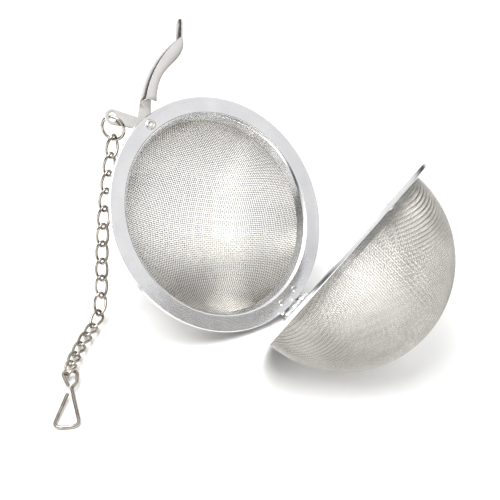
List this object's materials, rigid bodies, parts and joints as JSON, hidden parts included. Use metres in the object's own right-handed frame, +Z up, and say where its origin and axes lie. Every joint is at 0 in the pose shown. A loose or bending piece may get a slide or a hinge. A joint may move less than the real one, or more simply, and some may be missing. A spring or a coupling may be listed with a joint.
{
  "type": "tea infuser",
  "caption": "Hinged wire-mesh tea ball standing open on a table, with a swivel latch on its rim, a chain and a cup hook.",
  "frame": {"origin": "on the table, under the middle of the open infuser's box", "axes": "+Z up, +Y away from the view that faces the open bowl, +X to that view's right"},
  "size_m": [0.1004, 0.0894, 0.0739],
  "materials": {
    "mesh": "woven stainless wire, satin",
    "rim": "satin-polished stainless sheet",
    "fittings": "polished stainless",
    "chain": "bright nickel-plated wire"
  },
  "bodies": {
    "bowl_a": {"flange_ring_a": "rim", "mesh_bowl_a": "mesh", "backing_ring_a": "rim", "hinge_leaf_a": "fittings", "hinge_rivets_a": "fittings", "hinge_pin": "fittings", "latch_rivet": "fittings"},
    "bowl_b": {"flange_ring_b": "rim", "mesh_bowl_b": "mesh", "backing_ring_b": "rim", "hinge_leaf_b": "fittings", "hinge_rivets_b": "fittings", "locating_pip": "fittings"},
    "latch": {"swivel_latch": "fittings"},
    "jump_ring": {"jump_ring": "chain"},
    "chain_link_01": {"chain_link_01": "chain"},
    "chain_link_02": {"chain_link_02": "chain"},
    "chain_link_03": {"chain_link_03": "chain"},
    "chain_link_04": {"chain_link_04": "chain"},
    "chain_link_05": {"chain_link_05": "chain"},
    "chain_link_06": {"chain_link_06": "chain"},
    "chain_link_07": {"chain_link_07": "chain"},
    "chain_link_08": {"chain_link_08": "chain"},
    "chain_link_09": {"chain_link_09": "chain"},
    "chain_link_10": {"chain_link_10": "chain"},
    "chain_link_11": {"chain_link_11": "chain"},
    "chain_link_12": {"chain_link_12": "chain"},
    "chain_link_13": {"chain_link_13": "chain"},
    "chain_link_14": {"chain_link_14": "chain"},
    "chain_link_15": {"chain_link_15": "chain"},
    "chain_link_16": {"chain_link_16": "chain"},
    "cup_hook": {"cup_hook": "chain"}
  },
  "joints": [
    {"name": "bowl_hinge", "type": "hinge", "parent": "bowl_a", "child": "bowl_b", "pos_m": [0.01091, 0.00955, 0.00303], "axis": [0.595, 0.7348, 0.3256], "range_deg": [-72.3, 107.7]},
    {"name": "latch_swivel", "type": "hinge", "parent": "bowl_a", "child": "latch", "pos_m": [-0.02838, 0.02126, 0.05216], "axis": [-0.5067, 0.6574, -0.5578], "range_deg": [0, 48]},
    {"name": "ring_swing", "type": "hinge", "parent": "latch", "child": "jump_ring", "pos_m": [-0.03828, 0.01877, 0.05535], "axis": [-0.9397, 0.342, 0], "range_deg": [0, 12]},
    {"name": "chain_joint_01", "type": "hinge", "parent": "jump_ring", "child": "chain_link_01", "pos_m": [-0.03828, 0.01877, 0.05215], "axis": [0.342, 0.9397, 0], "range_deg": [0, 8]},
    {"name": "chain_joint_02", "type": "hinge", "parent": "chain_link_01", "child": "chain_link_02", "pos_m": [-0.03893, 0.01764, 0.04572], "axis": [-0.9272, 0.3712, 0.0496], "range_deg": [0, 8]},
    {"name": "chain_joint_03", "type": "hinge", "parent": "chain_link_02", "child": "chain_link_03", "pos_m": [-0.0397, 0.01631, 0.04106], "axis": [0.388, 0.8684, -0.3089], "range_deg": [0, 8]},
    {"name": "chain_joint_04", "type": "hinge", "parent": "chain_link_03", "child": "chain_link_04", "pos_m": [-0.04041, 0.01504, 0.03638], "axis": [-0.8875, 0.4606, 0.0099], "range_deg": [0, 8]},
    {"name": "chain_joint_05", "type": "hinge", "parent": "chain_link_04", "child": "chain_link_05", "pos_m": [-0.04105, 0.01383, 0.03168], "axis": [0.4865, 0.8289, -0.276], "range_deg": [0, 8]},
    {"name": "chain_joint_06", "type": "hinge", "parent": "chain_link_05", "child": "chain_link_06", "pos_m": [-0.04157, 0.01266, 0.02695], "axis": [-0.839, 0.5422, -0.0454], "range_deg": [0, 8]},
    {"name": "chain_joint_07", "type": "hinge", "parent": "chain_link_06", "child": "chain_link_07", "pos_m": [-0.04195, 0.01153, 0.0222], "axis": [0.5809, 0.7812, -0.2285], "range_deg": [0, 8]},
    {"name": "chain_joint_08", "type": "hinge", "parent": "chain_link_07", "child": "chain_link_08", "pos_m": [-0.04222, 0.0105, 0.01742], "axis": [-0.7788, 0.6209, -0.089], "range_deg": [0, 8]},
    {"name": "chain_joint_09", "type": "hinge", "parent": "chain_link_08", "child": "chain_link_09", "pos_m": [-0.04243, 0.00965, 0.0126], "axis": [0.6669, 0.7296, -0.1515], "range_deg": [0, 8]},
    {"name": "chain_joint_10", "type": "hinge", "parent": "chain_link_09", "child": "chain_link_10", "pos_m": [-0.04267, 0.00848, 0.00785], "axis": [-0.7062, 0.6927, -0.1466], "range_deg": [0, 8]},
    {"name": "chain_joint_11", "type": "hinge", "parent": "chain_link_10", "child": "chain_link_11", "pos_m": [-0.04309, 0.00595, 0.00376], "axis": [0.704, 0.5395, -0.4619], "range_deg": [0, 8]},
    {"name": "chain_joint_12", "type": "hinge", "parent": "chain_link_11", "child": "chain_link_12", "pos_m": [-0.04408, 0.00179, 0.00181], "axis": [-0.6888, 0.3826, -0.6158], "range_deg": [0, 8]},
    {"name": "chain_joint_13", "type": "hinge", "parent": "chain_link_12", "child": "chain_link_13", "pos_m": [-0.04533, -0.00286, 0.00165], "axis": [0.682, -0.2037, -0.7024], "range_deg": [0, 8]},
    {"name": "chain_joint_14", "type": "hinge", "parent": "chain_link_13", "child": "chain_link_14", "pos_m": [-0.04646, -0.00762, 0.00167], "axis": [-0.689, 0.1601, -0.7068], "range_deg": [0, 8]},
    {"name": "chain_joint_15", "type": "hinge", "parent": "chain_link_14", "child": "chain_link_15", "pos_m": [-0.04736, -0.01244, 0.00166], "axis": [0.6962, -0.123, -0.7072], "range_deg": [0, 8]},
    {"name": "chain_joint_16", "type": "hinge", "parent": "chain_link_15", "child": "chain_link_16", "pos_m": [-0.04798, -0.01729, 0.00178], "axis": [-0.7022, 0.0621, -0.7093], "range_deg": [0, 8]},
    {"name": "hook_swing", "type": "hinge", "parent": "chain_link_16", "child": "cup_hook", "pos_m": [-0.04784, -0.0245, 0.00169], "axis": [-0.0085, 0.0589, -0.9982], "range_deg": [0, 8]}
  ]
}
